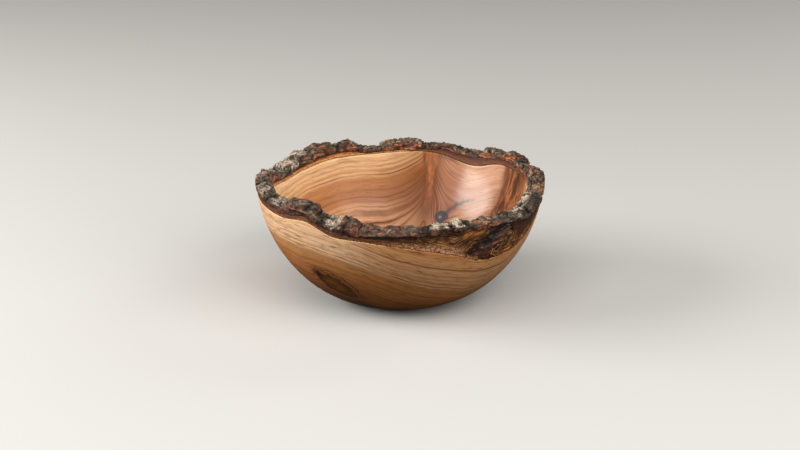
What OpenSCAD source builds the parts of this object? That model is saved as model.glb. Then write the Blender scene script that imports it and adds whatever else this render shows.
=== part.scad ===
// Natural edge bowl, turned from half a log with the bark left on along its rim.
// Millimetres, +Z up. The origin is the centre of the foot, on the table.
// Azimuth runs counter-clockwise seen from above: 0 right, 90 back, 180 left, 270 front.

/* [Turned bowl] */
// Diameter of the ball that the outside of the wall follows
bowl_d = 197; // [180:1:220]
// Diameter of the flat foot that the bowl stands on
foot_d = 76; // [60:1:90]
// How far the foot's edge lies inside the wall's ball
foot_inset = 2.6; // [1.6:0.1:4]
// Radius of the outside turn between the foot and the wall
base_r = 72; // [66:1:80]
// Thickness of the wall
wall_t = 10.5; // [8:0.5:13]
// Thickness of the floor over the foot
floor_t = 9; // [7:0.5:12]
// Radius of the inside turn between the floor and the wall
hollow_r = 64; // [58:1:70]

/* [Natural edge] */
// Mean height of the wood's edge over the table
rim_h = 73; // [68:1:78]
// Height of one step in the lists of the wood edge, inner bark and bark scales
edge_step = 1; // [0.8:0.05:1.2]
// Degrees along the rim, to each side, over which the grown edge is smoothed
edge_ease = 4; // [2:1:6]

/* [Bark] */
// How far the bark stays behind the turned faces of the wall
bark_inset = 0.05; // [0.05:0.05:0.3]
// Bark left at least at the bottom of a crack between two bark scales
crack_t = 1.2; // [0.6:0.2:2]
// Share of a bark scale's rise that is left at its two cracks
crack_share = 0.6; // [0.4:0.05:0.8]
// Height of the lumps on a bark scale
lump_h = 1.2; // [0:0.2:2]
// Radius of the round ends of the pocket of ingrown bark
pocket_r = 8; // [6:0.5:10]
// Depth of the pocket of ingrown bark
pocket_depth = 6; // [4:0.5:7]

/* [Hidden] */
$fn = 180;

// Degrees from one station of the rim to the next; every list below uses multiples of it
az_step = 2;
// How far a cutter reaches past the faces that it cuts
cut_over = 3;

// Outside: a ball for the wall and a smaller round, tangent to it, down to the foot's edge
ball_r = bowl_d / 2;
foot_r = foot_d / 2;
foot_reach = ball_r - foot_inset;
ball_z = sqrt(pow(foot_reach, 2) - pow(foot_r, 2));
base_off = ball_r - base_r;
base_along = (pow(foot_reach, 2) + pow(base_off, 2) - pow(base_r, 2)) / (2 * foot_reach);
base_side = sqrt(pow(base_off, 2) - pow(base_along, 2));
base_x = (base_along * foot_r + base_side * ball_z) / foot_reach;
base_z = ball_z - (base_along * ball_z - base_side * foot_r) / foot_reach;
base_top = ball_z - (ball_z - base_z) * ball_r / base_off;

// Inside: a ball for the wall and a smaller round, tangent to it, down to the flat floor
hollow_ball_r = ball_r - wall_t;
hollow_off = hollow_ball_r - hollow_r;
hollow_z = floor_t + hollow_r;
hollow_x = sqrt(pow(hollow_off, 2) - pow(ball_z - hollow_z, 2));
hollow_top = ball_z - (ball_z - hollow_z) * hollow_ball_r / hollow_off;

// Wood edge: azimuth, then its height on the outer and the inner face, in steps from rim_h
WOOD_EDGE = [
    [0, 3, 2], [14, 3, 3], [30, 2, 3], [38, 1, 2], [44, -1, -1], [50, -3, -4],
    [56, -4, -4], [62, -3, -2], [70, 0, 1], [80, 2, 2], [90, 1, 1], [100, 0, 0],
    [126, 0, 0], [138, -1, -2], [146, -2, -3], [156, -3, -4], [164, -2, -3], [176, 0, 0],
    [196, 1, 1], [208, 0, 1], [220, 0, 2], [228, 3, 3], [234, 3, 2], [238, -2, 1],
    [244, -5, 0], [256, -5, -2], [264, -7, -3], [270, -8, -4], [278, -11, -5], [284, -13, -5],
    [290, -16, -6], [296, -19, -7], [300, -23, -8], [306, -26, -9], [318, -26, -9],
    [326, -24, -8], [330, -23, -7], [334, -20, -5], [340, -16, -3], [346, -9, -1], [354, -1, 1]
];

// Inner bark: azimuth, then its height over the wood's edge on the outer and the inner face
INNER_BARK = [
    [0, 4, 3], [16, 3, 3], [30, 4, 4], [46, 5, 6], [56, 7, 7], [64, 5, 5], [72, 3, 4],
    [82, 2, 2], [108, 2, 2], [114, 4, 5], [126, 5, 5], [140, 4, 4], [160, 4, 3],
    [180, 5, 4], [202, 6, 4], [218, 5, 3], [232, 4, 3], [242, 5, 3], [254, 4, 2],
    [262, 5, 3], [270, 8, 4], [280, 12, 5], [288, 17, 7], [296, 22, 8], [304, 26, 9],
    [318, 26, 9], [326, 21, 8], [332, 18, 6], [340, 13, 4], [346, 9, 4], [354, 5, 3]
];

// Bark scales: name, first and last azimuth, rise at the outer and the inner face, colour
PLATES = [
    ["bark_right_ridge", 0, 12, 4, 5, "#4a3930"],
    ["bark_right_back_lump", 12, 22, 3, 3, "#57463b"],
    ["bark_right_orange_lump", 22, 34, 6, 6, "#8a5434"],
    ["bark_back_right_ridge", 34, 50, 5, 4, "#5a4437"],
    ["bark_back_right_saddle", 50, 62, 3, 2, "#4f3c30"],
    ["bark_back_right_strip", 62, 80, 3, 2, "#5a4437"],
    ["bark_back_overhang", 80, 98, 5, 5, "#6a4a38"],
    ["bark_back_thin_strip", 98, 110, 2, 2, "#453831"],
    ["bark_back_left_ridge", 110, 122, 5, 5, "#6a4a38"],
    ["bark_back_left_crest", 122, 136, 7, 6, "#7a5038"],
    ["bark_left_lichen_crest", 136, 146, 8, 6, "#a0968a"],
    ["bark_left_lichen_lump", 146, 156, 5, 5, "#b0a698"],
    ["bark_left_saddle", 156, 164, 2, 2, "#4a3930"],
    ["bark_left_knob", 164, 186, 5, 5, "#57463b"],
    ["bark_front_left_knob", 186, 206, 3, 5, "#8d8475"],
    ["bark_front_left_lichen", 206, 218, 3, 5, "#a0968a"],
    ["bark_front_left_tower", 218, 236, 5, 10, "#4d382d"],
    ["bark_front_left_flake", 236, 244, 4, 7, "#9a8f82"],
    ["bark_front_left_lump", 244, 254, 5, 10, "#4d382d"],
    ["bark_front_dip", 254, 262, 3, 5, "#4a3930"],
    ["bark_front_lichen", 262, 278, 3, 5, "#7f766a"],
    ["bark_front_lump", 278, 290, 4, 5, "#4d382d"],
    ["bark_front_right_flake", 290, 300, 3, 5, "#b0a698"],
    ["bark_pocket_lid", 300, 314, 3, 5, "#6a4a2e"],
    ["bark_pocket_shoulder", 314, 326, 2, 4, "#3c2d26"],
    ["bark_right_hollow", 326, 334, 2, 2, "#33281f"],
    ["bark_right_lichen_band", 334, 346, 4, 5, "#978d80"],
    ["bark_right_front_lump", 346, 360, 4, 4, "#57463b"]
];

// Points over the top of a bark scale: share of the way inward, share of the full rise.
// Under 0 and over 1 the scale swells past the turned faces.
SCALE_TOP = [[-0.08, 0.6], [0.2, 1], [0.5, 1.1], [0.8, 1], [1.05, 0.6]];
// How squarely a scale swells between its two cracks: 1 is a round bow, near 0 a flat top
swell_power = 0.35;
// Lumps along a scale: waves per turn of the rim, and degrees of shift across the wall
LUMP_WAVES = [[17, 70], [29, -150], [47, 240]];

// The two round ends of the bark pocket: azimuth, and height in steps from rim_h
POCKET_ENDS = [[306, -16], [318, -10]];

// The average of a list
function mean(values) = values * [for (v = values) 1] / len(values);

// A column of a list by azimuth, read at azimuth a and smoothed along the rim
function around(rows, column, a) =
    let (turns = [for (turn = [-360, 0, 360]) for (row = rows) [row[0] + turn, row[column]]])
    mean([for (d = [-edge_ease:edge_ease]) lookup(a + d, turns)]);

// Heights of the wood's edge and of the inner bark's top; column 1 is the outer face, 2 the inner
function wood_z(column, a) = rim_h + edge_step * around(WOOD_EDGE, column, a);
function bast_z(column, a) = wood_z(column, a) + edge_step * around(INNER_BARK, column, a);

// Radius of the wall's two faces at height z, as the bark meets them
function ball_at(radius, z) = sqrt(pow(radius, 2) - pow(z - ball_z, 2));
function outer_r(z) = ball_at(ball_r, z) - bark_inset;
function inner_r(z) = ball_at(hollow_ball_r, z) + bark_inset;

// The point at azimuth a, radius r and height z
function polar(a, r, z) = [r * cos(a), r * sin(a), z];

// Two triangles for each field of a skin over rings of points. The field under a ring, from its
// last point to its first, is split along the other diagonal, as the face that it lies on is.
function field(a, b, c, d, under) = under ? [[a, b, d], [b, c, d]] : [[a, b, c], [a, c, d]];
function skin(rings, points, closed) = [
    for (i = [0:rings - (closed ? 1 : 2)])
        for (j = [0:points - 1])
            let (here = i * points, there = (i + 1) % rings * points, next = (j + 1) % points)
            each field(here + j, here + next, there + next, there + j, next == 0)
];

// A solid through rings of points: a closed ring round the rim, or a length with two flat ends
module loft(rings, closed = false, inside_out = false) {
    points = len(rings[0]);
    sides = skin(len(rings), points, closed);
    last = (len(rings) - 1) * points;
    ends = closed ? [] : [[for (j = [points - 1:-1:0]) j], [for (j = [0:points - 1]) last + j]];
    faces = concat(sides, ends);
    turned = inside_out ? [for (face = faces) [for (j = [len(face) - 1:-1:0]) face[j]]] : faces;
    polyhedron([for (ring = rings) each ring], turned);
}

// Half outline of the outside, up to the top of the shell
module outside_outline(top) {
    square([base_x, base_top]);
    intersection() {
        translate([base_x, base_z]) circle(base_r);
        translate([base_x, 0]) square([ball_r, base_top]);
    }
    intersection() {
        translate([0, ball_z]) circle(ball_r);
        translate([0, base_top]) square([ball_r, top - base_top]);
    }
}

// Half outline of the hollow, open past the top of the shell
module inside_outline(top) {
    translate([0, floor_t]) square([hollow_x, hollow_top - floor_t]);
    intersection() {
        translate([hollow_x, hollow_z]) circle(hollow_r);
        translate([hollow_x, floor_t]) square([hollow_ball_r, hollow_top - floor_t]);
    }
    intersection() {
        translate([0, ball_z]) circle(hollow_ball_r);
        translate([0, hollow_top]) square([hollow_ball_r, top + cut_over - hollow_top]);
    }
}

// Everything over the wood's edge: its underside is the face that the inner bark grew on
module over_the_edge(top) {
    loft([
        for (a = [0:az_step:360 - az_step])
            let (outer = wood_z(1, a), inner = wood_z(2, a))
            [
                polar(a, ball_r + cut_over, top + cut_over),
                polar(a, ball_r + cut_over, outer),
                polar(a, outer_r(outer), outer),
                polar(a, inner_r(inner), inner),
                polar(a, inner_r(inner) - cut_over, inner),
                polar(a, inner_r(inner) - cut_over, top + cut_over)
            ]
    ], closed = true, inside_out = true);
}

// The wooden body, one piece from the foot to the edge under the bark
module turned_bowl() {
    edge_tops = [for (row = WOOD_EDGE) max(row[1], row[2])];
    shell_top = rim_h + edge_step * max(edge_tops) + cut_over;
    color("#c8935a")
        difference() {
            rotate_extrude()
                difference() {
                    outside_outline(shell_top);
                    inside_outline(shell_top);
                }
            over_the_edge(shell_top);
        }
}

// The whole ring of inner bark, before the pocket is taken out of it
module bast_ring() {
    loft([
        for (a = [0:az_step:360 - az_step])
            let (low = [wood_z(1, a), wood_z(2, a)], high = [bast_z(1, a), bast_z(2, a)])
            [
                polar(a, outer_r(low[0]), low[0]),
                polar(a, outer_r(high[0]), high[0]),
                polar(a, inner_r(high[1]), high[1]),
                polar(a, inner_r(low[1]), low[1])
            ]
    ], closed = true);
}

// The shape of the pocket, let into the outer face of the inner bark
module pocket_shape() {
    hull()
        for (end = POCKET_ENDS)
            let (z = rim_h + edge_step * end[1])
                translate(polar(end[0], ball_at(ball_r, z) + pocket_r - pocket_depth, z))
                    sphere(pocket_r, $fn = 32);
}

// Smooth inner bark, one layer all along the wood's edge
module inner_bark() {
    color("#5d3b24")
        difference() {
            bast_ring();
            pocket_shape();
        }
}

// Rough bark that grew into the trunk beside a branch
module bark_pocket() {
    color("#33251f")
        intersection() {
            bast_ring();
            pocket_shape();
        }
}

// Height of the lumps at azimuth a, a share of the way inward
function lumps(a, inward) =
    lump_h * mean([for (wave = LUMP_WAVES) sin(wave[0] * a + wave[1] * inward)]);

// The section of a bark scale at azimuth a: over its foot on the inner bark, from outer to inner
function scale_section(plate, a) =
    let (
        along = (a - plate[1]) / (plate[2] - plate[1]),
        swell = pow(sin(180 * along), swell_power),
        foot = [bast_z(1, a), bast_z(2, a)],
        rise = [
            for (side = [0, 1])
                let (full = edge_step * plate[3 + side], low = max(crack_share * full, crack_t))
                max(full - low, 0) * swell + low
        ],
        top = [
            for (spot = SCALE_TOP)
                let (
                    inward = spot[0],
                    base = foot[0] + (foot[1] - foot[0]) * inward,
                    full = rise[0] + (rise[1] - rise[0]) * inward,
                    z = base + spot[1] * full + swell * lumps(a, inward)
                )
                polar(a, outer_r(z) + (inner_r(z) - outer_r(z)) * inward, z)
        ]
    )
    concat(
        [polar(a, outer_r(foot[0]), foot[0])],
        top,
        [polar(a, inner_r(foot[1]), foot[1])]
    );

// One scale of rough outer bark, between two cracks
module bark_scale(plate) {
    color(plate[5])
        loft([for (a = [plate[1]:az_step:plate[2]]) scale_section(plate, a)]);
}

turned_bowl();
inner_bark();
bark_pocket();
for (plate = PLATES)
    bark_scale(plate);
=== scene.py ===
import math

import bmesh
import bpy
import numpy as np
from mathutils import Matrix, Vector, noise


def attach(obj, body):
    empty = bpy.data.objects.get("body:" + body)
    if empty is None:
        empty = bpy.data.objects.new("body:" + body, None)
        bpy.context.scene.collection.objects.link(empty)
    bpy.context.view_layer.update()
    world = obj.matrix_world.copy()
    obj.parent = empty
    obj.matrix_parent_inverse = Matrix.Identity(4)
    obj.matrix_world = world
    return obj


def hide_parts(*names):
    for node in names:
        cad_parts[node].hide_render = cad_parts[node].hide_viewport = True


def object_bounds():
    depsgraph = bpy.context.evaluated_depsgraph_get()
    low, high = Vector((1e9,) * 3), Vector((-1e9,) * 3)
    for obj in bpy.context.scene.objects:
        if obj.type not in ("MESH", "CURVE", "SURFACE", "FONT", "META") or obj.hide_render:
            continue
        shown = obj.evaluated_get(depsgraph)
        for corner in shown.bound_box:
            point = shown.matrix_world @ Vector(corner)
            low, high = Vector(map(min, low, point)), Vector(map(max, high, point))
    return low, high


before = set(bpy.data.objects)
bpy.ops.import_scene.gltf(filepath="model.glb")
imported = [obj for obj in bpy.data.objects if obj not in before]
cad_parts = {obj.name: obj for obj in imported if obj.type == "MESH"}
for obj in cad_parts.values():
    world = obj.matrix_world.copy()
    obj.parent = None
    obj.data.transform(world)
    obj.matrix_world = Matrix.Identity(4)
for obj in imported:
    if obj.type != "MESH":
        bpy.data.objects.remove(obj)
cad_box = [list(corner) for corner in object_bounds()]


# Turned bowl
# The wooden body, turned on a lathe from half a log with its foot towards the heart. It is one
# solid of a warm hardwood, sanded and oiled, and the bark along its edge is what grew on it.
MM = 0.001
WALL_BALL_R = 98.5      # ball that the outside of the wall follows
WALL_BALL_Z = 88.05     # height of that ball's centre, and of the inside's
HOLLOW_BALL_R = 88.0    # ball that the inside of the wall follows
FOOT_R = 38.0
BASE_TURN = (18.32, 69.64)      # radius and height of the centre of the turn from foot to wall
HOLLOW_TURN = (18.69, 73.0)     # and of the turn from floor to wall, inside
FLOOR_Z = 9.0
TOP_Z = 77.0            # the turned wall before its edge follows the bark
EVEN_Z = 40.0           # below this the wall is plain turning all round
TURN_STEPS = 360
FOOT_STEPS, BASE_STEPS, WALL_STEPS, EDGE_STEPS = 16, 28, 52, 4      # of the profile outside
HOLLOW_STEPS, HOLLOW_TURN_STEPS, FLOOR_STEPS = 38, 44, 10           # and of the profile inside
WELD = 0.002            # mm, points closer than this are one point
SHARP = 0.35            # radians, a fold of a CAD mesh that is an edge
ON_BALL = 0.03          # mm that a point of such an edge may lie off the ball
CLEAR_OF = 0.8          # mm that an edge has to lie over another line to count


def angle_from(centre, r, z):
    return math.degrees(math.atan2(z - centre[1], r - centre[0]))


def turn_along(bm, start, centre, degrees, steps):
    """Draws an arc of a lathe profile by turning its last point about the arc's centre."""
    swept = bmesh.ops.spin(
        bm, geom=[start], cent=(centre[0], 0, centre[1]), axis=(0, -1, 0),
        angle=math.radians(degrees), steps=steps, use_merge=False)
    return next(v for v in swept["geom_last"] if isinstance(v, bmesh.types.BMVert))


def straight_to(bm, start, r, z, steps):
    """Draws a straight run of a lathe profile to a radius and height."""
    here = start
    for step in range(1, steps + 1):
        grown = bmesh.ops.extrude_vert_indiv(bm, verts=[here])["verts"][0]
        grown.co = start.co.lerp(Vector((r, 0, z)), step / steps)
        here = grown
    return here


def object_of(name, mesh):
    piece = bpy.data.objects.new(name, mesh)
    bpy.context.scene.collection.objects.link(piece)
    return piece


def points_of(mesh):
    """A mesh's points, one row each, in millimetres."""
    flat = np.zeros(len(mesh.vertices) * 3)
    mesh.vertices.foreach_get("co", flat)
    return flat.reshape(-1, 3) / MM


def put_points(mesh, points):
    mesh.vertices.foreach_set("co", (points * MM).ravel())
    mesh.update()


def normals_of(mesh):
    flat = np.zeros(len(mesh.vertices) * 3)
    mesh.vertices.foreach_get("normal", flat)
    return flat.reshape(-1, 3)


def note_on(mesh, notes):
    """Keeps named numbers for each point of a mesh, for its material to read."""
    for name, values in notes.items():
        mesh.attributes.new(name, "FLOAT", "POINT").data.foreach_set(
            "value", np.ascontiguousarray(values, dtype=np.float32))


def azimuth_of(points):
    return np.degrees(np.arctan2(points[:, 1], points[:, 0])) % 360


def fade(low, high, value):
    """Goes smoothly from 0 at low to 1 at high."""
    share = np.clip((value - low) / (high - low), 0, 1)
    return share * share * (3 - 2 * share)


def within(start, full, fall, end, value):
    """Rises from 0 at start to 1 at full, and goes back from 1 at fall to 0 at end."""
    return fade(start, full, value) * (1 - fade(fall, end, value))


def hump(middle, half, value):
    """1 at the middle, and fading out to both sides of it."""
    return np.exp(-((value - middle) / half) ** 2)


def grown_line(pairs, ease):
    """A smooth closed line round the rim through pairs of azimuth and height."""
    spots = np.arange(0, 360, 0.5)
    heights = np.interp(spots, *zip(*pairs), period=360)
    steps = np.arange(-int(6 * ease), int(6 * ease) + 1)
    weights = np.exp(-0.5 * (steps * 0.5 / ease) ** 2)
    smooth = sum(w * np.roll(heights, s) for w, s in zip(weights, steps)) / weights.sum()
    return lambda azimuth: np.interp(azimuth, spots, smooth, period=360)


def welded(node):
    """A CAD node's loose triangles as one joined mesh."""
    bm = bmesh.new()
    bm.from_mesh(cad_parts[node].data)
    bmesh.ops.remove_doubles(bm, verts=bm.verts, dist=WELD * MM)
    return bm


def edge_of(node, ball_r, over=None):
    """Reads from the frame where a node ends on a ball, over another line: heights by azimuth."""
    bm = welded(node)
    centre = Vector((0, 0, WALL_BALL_Z * MM))
    spots = {
        (round(math.degrees(math.atan2(v.co.y, v.co.x)) % 360, 3), round(v.co.z / MM, 3))
        for e in bm.edges if len(e.link_faces) == 2 and e.calc_face_angle() > SHARP
        and all(abs((v.co - centre).length / MM - ball_r) < ON_BALL for v in e.verts)
        for v in e.verts if v.co.z > EVEN_Z * MM}
    bm.free()
    azimuths, heights = np.array(sorted(spots)).T
    if over:
        above = heights > over(azimuths) + CLEAR_OF
        azimuths, heights = azimuths[above], heights[above]
    return lambda azimuth: np.interp(azimuth, azimuths, heights, period=360)


outer_edge = edge_of("turned_bowl", WALL_BALL_R)
inner_edge = edge_of("turned_bowl", HOLLOW_BALL_R)
ball_centre = (0.0, WALL_BALL_Z)                # radius and height
ball_middle = np.array((0, 0, WALL_BALL_Z))     # the same spot in space


def across_wall(outside, inside, share_in):
    """A value between the wall's outside and its inside."""
    return outside * (1 - share_in) + inside * share_in


def place_in_wall(points):
    """Azimuth, distance from the middle of the balls, share of the way in through the wall, and
    the height of the wood's edge there."""
    azimuth = azimuth_of(points)
    to_middle = np.hypot(np.hypot(points[:, 0], points[:, 1]), points[:, 2] - WALL_BALL_Z)
    share_in = np.clip((WALL_BALL_R - to_middle) / (WALL_BALL_R - HOLLOW_BALL_R), 0, 1)
    edge_here = across_wall(outer_edge(azimuth), inner_edge(azimuth), share_in)
    return azimuth, to_middle, share_in, edge_here


bm = bmesh.new()
tip = bm.verts.new((0, 0, 0))
tip = straight_to(bm, tip, FOOT_R, 0, FOOT_STEPS)
base_end = angle_from(ball_centre, *BASE_TURN)
tip = turn_along(bm, tip, BASE_TURN, base_end - angle_from(BASE_TURN, FOOT_R, 0), BASE_STEPS)
wall_end = -math.degrees(math.asin((WALL_BALL_Z - TOP_Z) / WALL_BALL_R))
tip = turn_along(bm, tip, ball_centre, wall_end - base_end, WALL_STEPS)
hollow_start = -math.degrees(math.asin((WALL_BALL_Z - TOP_Z) / HOLLOW_BALL_R))
tip = straight_to(bm, tip, HOLLOW_BALL_R * math.cos(math.radians(hollow_start)), TOP_Z, EDGE_STEPS)
hollow_end = angle_from(ball_centre, *HOLLOW_TURN)
tip = turn_along(bm, tip, ball_centre, hollow_end - hollow_start, HOLLOW_STEPS)
tip = turn_along(bm, tip, HOLLOW_TURN, -90 - hollow_end, HOLLOW_TURN_STEPS)
straight_to(bm, tip, 0, FLOOR_Z, FLOOR_STEPS)
bmesh.ops.spin(
    bm, geom=bm.verts[:] + bm.edges[:], cent=(0, 0, 0), axis=(0, 0, 1),
    angle=math.tau, steps=TURN_STEPS, use_merge=True)
bmesh.ops.remove_doubles(bm, verts=bm.verts, dist=WELD)
bmesh.ops.recalc_face_normals(bm, faces=bm.faces)
bmesh.ops.scale(bm, vec=(MM, MM, MM), verts=bm.verts)
for face in bm.faces:
    face.smooth = True
bowl_mesh = bpy.data.meshes.new("bowl_wood")
bm.to_mesh(bowl_mesh)
bm.free()

# The wall's two faces end at the edge that the bark gave them, each point staying on its ball.
points = points_of(bowl_mesh)
azimuth, _, share_in, edge_here = place_in_wall(points)
radius = np.hypot(points[:, 0], points[:, 1])
high = points[:, 2] > EVEN_Z
stretch = (edge_here - EVEN_Z) / (TOP_Z - EVEN_Z)
points[high, 2] = EVEN_Z + (points[high, 2] - EVEN_Z) * stretch[high]
ball_here = across_wall(WALL_BALL_R, HOLLOW_BALL_R, share_in)
new_radius = np.sqrt(ball_here ** 2 - (points[:, 2] - WALL_BALL_Z) ** 2, where=high,
                     out=radius.copy())
points[high, :2] *= (new_radius[high] / radius[high])[:, None]
put_points(bowl_mesh, points)

# Rings lie one over another below the bark, so level is a height that follows them: it rises
# into a cusp at the branch inside, and falls with the edge towards the branch scar in front.
x, y, z = points.T
radius = np.hypot(x, y)
inside = (normals_of(bowl_mesh) * (points - ball_middle)).sum(1) < 0
rise_inside = grown_line([
    (0, 6), (14, 9), (26, 10), (33, 9), (39, 6), (45, 2.5), (51, -0.5), (57, 0), (62, 1.8),
    (66, 5), (69, 10.5), (72, 18), (74.4, 22), (76, 19), (78, 14.5), (81, 10), (85, 6.5),
    (89, 4.2), (94, 2.4), (100, 1.6), (106, 1.8), (113, 2), (124, 1.5), (137, 0), (149, -2),
    (165, -4), (180, -3), (200, 0), (225, 0), (250, -2), (280, -5), (312, -9), (346, 0)], 1.4)
rise_outside = grown_line([
    (0, -3), (30, 0), (60, -5), (90, 2), (120, 0), (150, -4), (180, 0), (207, 0), (228, 0),
    (238, -0.7), (244, -3), (252, -6.5), (259, -11.5), (267, -17), (280, -23.5), (294, -29),
    (305, -33.5), (312, -35), (326, -34), (345, -18)], 4)
TRUNK_R = 120.0                        # the log's own round, seen on the floor
ACROSS_TRUNK = np.array((0.87, -0.49))
FLOOR_TO_WALL = (42, 70)               # mm from the axis, where the floor turns into the wall
across = points[:, :2] @ ACROSS_TRUNK
on_wall = fade(*FLOOR_TO_WALL, radius)
rise = np.where(inside, rise_inside(azimuth), rise_outside(azimuth))
level = z - rise * on_wall + (1 - on_wall) * across ** 2 / (2 * TRUNK_R)

# The pith inside at the back, where rings close round a small grey heart.
PITH = np.array((29.7, 61.4, 32.4))
PITH_R = 5.6
PITH_SQUASH = (1, 1, 1.25)
PITH_LIFT, PITH_REACH = 7.0, 1.7       # mm that it lifts the rings, within so many of its radii
OTHER_FACE = 9                         # added to a distance on the wall's other face
pith = np.linalg.norm((points - PITH) * PITH_SQUASH, axis=1) / PITH_R + OTHER_FACE * ~inside
level += PITH_LIFT * hump(0, PITH_REACH, pith)

# The eye of a grown-over branch, low on the outside at the front left. Its dark tail, spot and dash
# are placed along it and across it, by halves of its length and width.
EYE = np.array((-42.1, -65.3, 27.3))
EYE_ALONG = np.array((0.828, -0.024, -0.56))
EYE_ACROSS = np.cross((EYE - ball_middle) / WALL_BALL_R, EYE_ALONG)
EYE_LENGTH, EYE_WIDTH = 17.0, 8.5      # mm from its middle to its ends and sides
EYE_LIFT = 9.0                         # mm of level from its edge to its middle
from_eye = points - EYE
along_eye = from_eye @ EYE_ALONG / EYE_LENGTH
across_eye = from_eye @ EYE_ACROSS / EYE_WIDTH
eye = along_eye ** 2 + np.abs(across_eye) + OTHER_FACE * inside
in_eye = 1 - fade(0.7, 1.9, eye)
level = level * (1 - in_eye) + (EYE[2] + EYE_LIFT * (1 - eye)) * in_eye
eye_tail = 0.3 * hump(-0.2, 0.35, across_eye) * within(-1.6, -1.1, -0.9, -0.6, along_eye) * ~inside
eye_spot = hump(-0.82, 0.24, along_eye) * hump(-0.2, 0.34, across_eye)
eye_dash = 0.9 * hump(-0.08, 0.14, along_eye) * hump(-0.1, 0.1, across_eye)
eye_spot = np.maximum(eye_spot, eye_dash) * ~inside

# The branch's own wood: a reddish streak up the inside to the edge, and a second, wider zone of
# upright streaks at the right, with wandering edges. A grey stain leads from the pith to the right.
# Azimuths are in degrees, heights and widths in mm.
BRANCH_AZIMUTH = 74.4
BRANCH_HALF, BRANCH_FLARE = 2.5, 2.8   # mm, half its width, and what that gains towards the edge
STREAKS_END = 29.0                     # azimuth of the dark line that ends the upright streaks
STREAK_RUN = np.array((9, 9, 13))      # mm from one bend of their edges to the next
STAIN_Z, STAIN_RISE = 31.5, 18.5       # mm, its height at the pith and what it climbs from there
BRANCH_DARK, BRANCH_CLEAR = (27, 7), (24, 16)   # mm that the darkening and the clear rings reach from it
COLOUR_FROM = (16, 36)                 # heights between which the wall's own colours come in
ZONES = {    # azimuths where a zone starts, is full, falls off and has ended
    "under_bast": (59, 64, 69, 72), "stain": (38, 58, 63, 65.5), "pale_wood_and_highlight": (25, 29, 46, 60),
    "polished": (32, 38, 54, 64), "half_polished": (92, 106, 135, 160),
    "under_scar": (242, 268, 336, 348)}
zone = {name: within(*ends, azimuth) for name, ends in ZONES.items()}
beside_branch = (BRANCH_AZIMUTH - azimuth) * math.radians(1) * radius
branch_half = BRANCH_HALF + BRANCH_FLARE * fade(61, 71, z)
branch = within(-branch_half - 1.2, -branch_half + 0.4, branch_half - 0.8, branch_half + 1.8,
                beside_branch) * fade(34, 46, z) * inside
dark_side = np.maximum(hump(-branch_half - 0.4, 1.1, beside_branch),
                       0.7 * hump(branch_half + 1.2, 1.2, beside_branch))
dark_side *= fade(32, 44, z) * inside
round_branch = (hump(0, np.where(beside_branch < 0, *BRANCH_DARK), beside_branch)
                * fade(14, 42, z) * (1 - 0.4 * fade(58, 70, z)) * inside)
# Darker in a narrow band just under the bark's inner edge at the back.
under_bast = (1 - fade(1.2, 3.2, inner_edge(azimuth) - z)) * zone["under_bast"] * inside
wander = np.array([noise.noise(Vector(p)) for p in points / STREAK_RUN])
streak_at = azimuth + 2.6 * wander
streaks = (fade(-1, 5, azimuth + 6 * wander) * (1 - fade(27, 35, streak_at))
           * fade(20, 40, z + 14 * wander) * inside)
streak_edge = hump(STREAKS_END, 1.4, streak_at) * fade(24, 44, z + 10 * wander) * inside
sliver = hump(4.3, 0.8, azimuth - (76 - z) * 0.12) * fade(60, 68, z) * inside
stain_z = STAIN_Z + STAIN_RISE * (1 - np.exp(-np.clip(64 - azimuth, 0, 40) / 10))
stain_half = 0.9 + 1.3 * fade(48, 59, azimuth) + 0.4 * np.sin(azimuth * 1.9)
stain = hump(stain_z, stain_half, z) * zone["stain"] * inside
blush = (fade(46, 60, azimuth) * (1 - fade(1, 7, -beside_branch)) * fade(*COLOUR_FROM, z)
         * inside)
# A paler, pinker tint on the right of the inside, where the left lamp is mirrored: in part the
# wood's own tone, in part painted highlight.
pale_wood_and_highlight = zone["pale_wood_and_highlight"] * fade(*COLOUR_FROM, z) * inside
clear_lines = 1.1 * fade(16, 34, z) * hump(
    0, np.where(beside_branch < 0, *BRANCH_CLEAR), beside_branch)

# Only side grain takes a full polish; the end grain round the branch drinks the oil and stays dull.
DULL, POLISHED, OUTSIDE_POLISH = 0.1, 0.45, 0.03
side_grain = np.maximum(zone["polished"], 0.5 * zone["half_polished"] * (1 - fade(36, 54, z)))

bowl_notes = {
    "level": level, "inside": inside, "pith": np.clip(pith, 0, OTHER_FACE),
    "eye": np.clip(eye, 0, OTHER_FACE), "eye_spot": eye_spot,
    "above_eye": fade(0.0, 0.4, across_eye) * (1 - fade(2, 3, eye)) * ~inside,
    "under_scar": zone["under_scar"] * ~inside,
    "branch": branch, "round_branch": round_branch,
    "dark_side": np.maximum.reduce((dark_side, streak_edge, eye_tail, under_bast)),
    "streaks": streaks, "sliver": sliver, "stain": stain, "blush": blush, "pale_wood_and_highlight": pale_wood_and_highlight,
    "clear": np.where(inside, 1 + clear_lines, 1.0),
    "polish": np.where(inside, DULL + POLISHED * side_grain, OUTSIDE_POLISH)}
note_on(bowl_mesh, bowl_notes)


def linear(code):
    """Turns an sRGB hex colour to the linear colour that a shader takes."""
    parts = [int(code[i:i + 2], 16) / 255 for i in (1, 3, 5)]
    return [c / 12.92 if c <= 0.04045 else ((c + 0.055) / 1.055) ** 2.4 for c in parts] + [1]


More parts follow.
